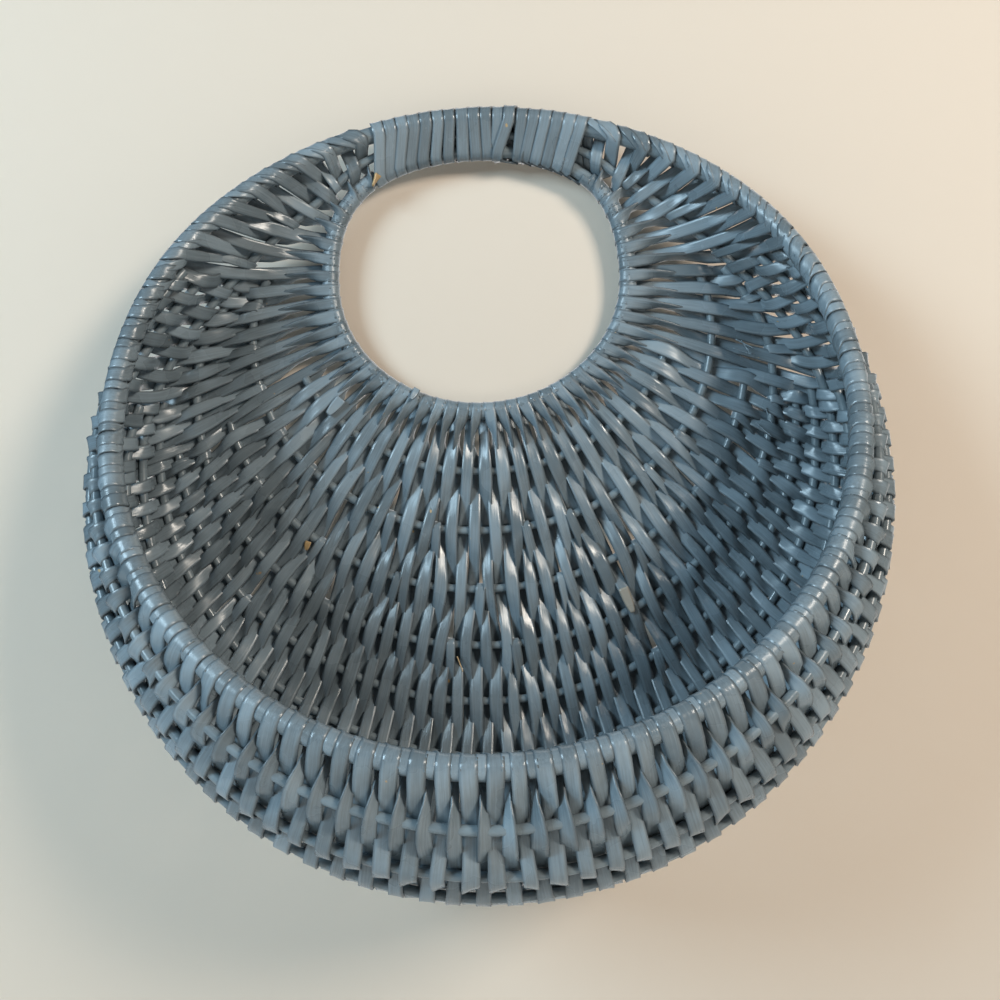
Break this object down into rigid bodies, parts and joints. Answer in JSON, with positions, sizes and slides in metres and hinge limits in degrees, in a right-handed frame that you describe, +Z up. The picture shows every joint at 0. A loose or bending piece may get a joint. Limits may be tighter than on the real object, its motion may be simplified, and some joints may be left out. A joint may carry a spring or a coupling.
{
  "type": "wall pocket basket",
  "caption": "Round woven wall pocket basket with a tilted hoop rim, an oval opening in its back, a bound top handle and a deep belly to hold flowers or small things.",
  "frame": {"origin": "underside of the bound handle at its middle, where the basket hangs", "axes": "+Z up, +Y towards the wall behind the basket, +X to the right as seen from the front"},
  "size_m": [0.3546, 0.1496, 0.3589],
  "materials": {
    "painted_rod": "slate blue paint, satin, worn",
    "painted_splint": "slate blue paint, semi-gloss, brushed over reed grain",
    "painted_binding": "slate blue paint, semi-gloss, brushed over reed grain"
  },
  "bodies": {
    "root": {"rim_hoop": "painted_rod", "hole_hoop": "painted_rod", "rib_01": "painted_rod", "rib_02": "painted_rod", "rib_03": "painted_rod", "rib_04": "painted_rod", "rib_05": "painted_rod", "rib_06": "painted_rod", "rib_07": "painted_rod", "rib_08": "painted_rod", "rib_09": "painted_rod", "rib_10": "painted_rod", "rib_11": "painted_rod", "rib_12": "painted_rod", "rib_13": "painted_rod", "weaver_01": "painted_splint", "weaver_02": "painted_splint", "weaver_03": "painted_splint", "weaver_04": "painted_splint", "weaver_05": "painted_splint", "weaver_06": "painted_splint", "weaver_07": "painted_splint", "weaver_08": "painted_splint", "weaver_09": "painted_splint", "weaver_10": "painted_splint", "weaver_11": "painted_splint", "weaver_12": "painted_splint", "handle_binding": "painted_binding"}
  },
  "joints": []
}
